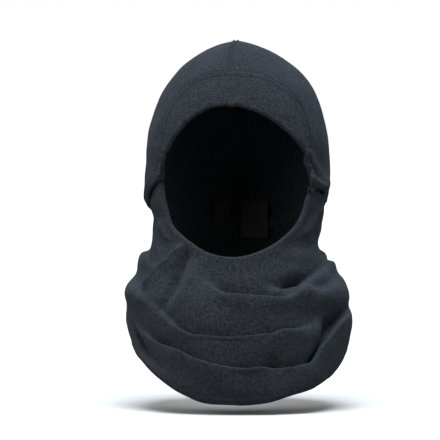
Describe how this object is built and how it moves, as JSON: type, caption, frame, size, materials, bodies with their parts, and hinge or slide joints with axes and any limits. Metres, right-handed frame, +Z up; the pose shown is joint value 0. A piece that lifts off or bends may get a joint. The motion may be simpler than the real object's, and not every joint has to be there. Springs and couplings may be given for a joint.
{
  "type": "balaclava",
  "caption": "Dark fleece balaclava with a round face opening, a wide folded brow band, a pull-up face cover and a loose cowl of folds round the neck.",
  "frame": {"origin": "the inner apex of the crown, where the top of the wearer's head bears on the cloth", "axes": "+Z up, -Y the way the face looks, +X towards the wearer's left"},
  "size_m": [0.2288, 0.237, 0.3633],
  "materials": {
    "fleece": "brushed fleece, matt",
    "seam_thread": "spun thread, matt",
    "elastic": "woven elastic, matt",
    "woven_label": "satin ribbon, blank"
  },
  "bodies": {
    "hood": {"hood_panel_left": "fleece", "hood_panel_right": "fleece", "brow_band_left": "fleece", "brow_band_right": "fleece", "brow_elastic_left": "elastic", "brow_elastic_right": "elastic", "crown_seam_overlock": "seam_thread", "crown_topstitching": "seam_thread", "brow_seam_stitching": "seam_thread", "hood_edge_stitching": "seam_thread", "neck_panel_front": "fleece", "neck_panel_back": "fleece", "neck_hem_front": "fleece", "neck_hem_back": "fleece", "neck_hem_stitching": "seam_thread", "care_label": "woven_label", "size_label": "woven_label"},
    "face_cover": {"face_cover_panel": "fleece", "face_cover_hem": "fleece", "face_cover_elastic": "elastic", "face_cover_stitching": "seam_thread"}
  },
  "joints": [
    {"name": "face_cover_pull", "type": "slide", "parent": "hood", "child": "face_cover", "axis": [0, 0, 1], "range_m": [0, 0.07]}
  ]
}
